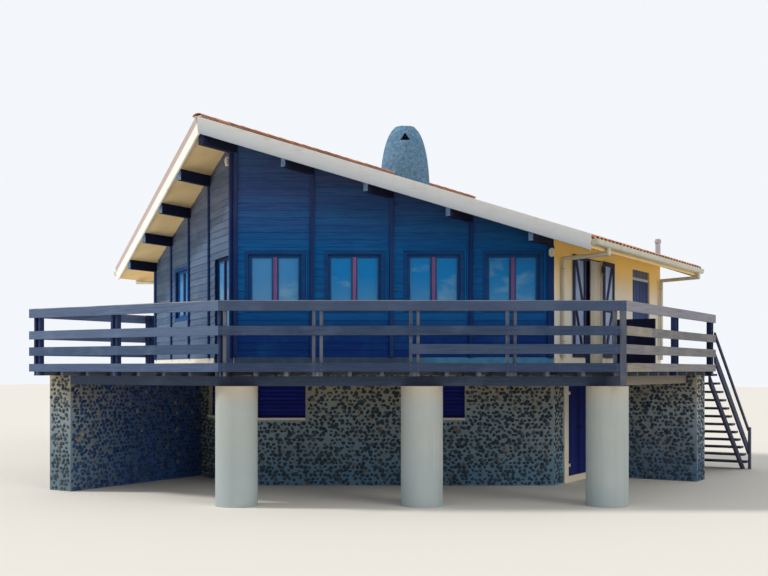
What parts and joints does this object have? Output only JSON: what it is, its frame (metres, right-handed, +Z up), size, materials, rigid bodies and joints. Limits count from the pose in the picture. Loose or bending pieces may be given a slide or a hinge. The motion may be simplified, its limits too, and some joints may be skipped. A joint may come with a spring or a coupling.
{
  "type": "beach house",
  "caption": "Low gabled beach house with a pointed timber front, pebble basement, rounded chimney and a railed deck on piers with an outside stair.",
  "frame": {"origin": "on the ground under the ridge, halfway between the front corner and the back wall", "axes": "+Z up, +Y along the ridge from the pointed front to the back wall, +X to the right seen from the front"},
  "size_m": [13.7403, 12.6162, 8.035],
  "materials": {
    "pebble_masonry": "rounded pebbles set in mortar",
    "concrete": "cast, matt",
    "pier_render": "smooth painted render",
    "cream_render": "fine render, painted",
    "dark_boards": "dark stained boards",
    "dark_beams": "dark stained timber",
    "red_joinery": "red-brown varnished wood",
    "window_glass": "clear",
    "pale_shutter": "painted boards",
    "blue_shutter": "dark blue painted boards",
    "soffit_boards": "painted boards",
    "barge_paint": "painted, satin",
    "clay_tiles": "weathered clay",
    "rainwater_plastic": "moulded",
    "chimney_render": "rough pebble render",
    "vent_metal": "dull grey",
    "lamp_white": "opal",
    "deck_timber": "weathered boards"
  },
  "bodies": {
    "house": {"ground_slab": "concrete", "basement_front_wall": "pebble_masonry", "basement_left_wall": "pebble_masonry", "basement_side_wall_near": "pebble_masonry", "basement_side_wall_far": "pebble_masonry", "basement_left_side_wall": "pebble_masonry", "basement_back_wall": "pebble_masonry", "door_portal": "cream_render", "basement_shutters": "blue_shutter", "basement_sills": "cream_render", "floor_slab": "concrete", "front_wall": "dark_boards", "left_front_wall": "dark_boards", "right_side_wall": "cream_render", "left_side_wall": "cream_render", "back_wall": "cream_render", "wall_base_strip": "cream_render", "wall_posts": "dark_beams", "window_trim": "dark_beams", "window_frames": "red_joinery", "window_glass": "window_glass", "glazed_doors": "red_joinery", "open_shutters": "pale_shutter", "closed_shutters": "blue_shutter", "roof_beams": "dark_beams", "roof_right": "soffit_boards", "roof_left": "soffit_boards", "bargeboards": "barge_paint", "tiles_right": "clay_tiles", "tiles_left": "clay_tiles", "ridge_cap": "clay_tiles", "gutters": "rainwater_plastic", "downpipes": "rainwater_plastic", "chimney": "chimney_render", "vent_pipe": "vent_metal", "wall_lamps": "lamp_white", "deck_boards": "deck_timber", "deck_joists": "deck_timber", "deck_bearers": "deck_timber", "piers": "pier_render", "left_wing_wall": "pebble_masonry", "right_wing_wall": "pebble_masonry", "front_rails": "deck_timber", "left_rails": "deck_timber", "return_rails": "deck_timber", "right_rails": "deck_timber", "end_screen": "blue_shutter", "stair_stringers": "deck_timber", "stair_treads": "deck_timber", "stair_rails": "deck_timber"},
    "near_leaf": {"door_leaf_near": "blue_shutter"},
    "far_leaf": {"door_leaf_far": "blue_shutter"}
  },
  "joints": [
    {"name": "near_leaf_hinge", "type": "hinge", "parent": "house", "child": "near_leaf", "pos_m": [5.209, -0.931, 0.1], "axis": [0, 0, -1], "range_deg": [0, 100]},
    {"name": "far_leaf_hinge", "type": "hinge", "parent": "house", "child": "far_leaf", "pos_m": [5.209, 0.101, 0.1], "axis": [0, 0, 1], "range_deg": [0, 100]}
  ]
}
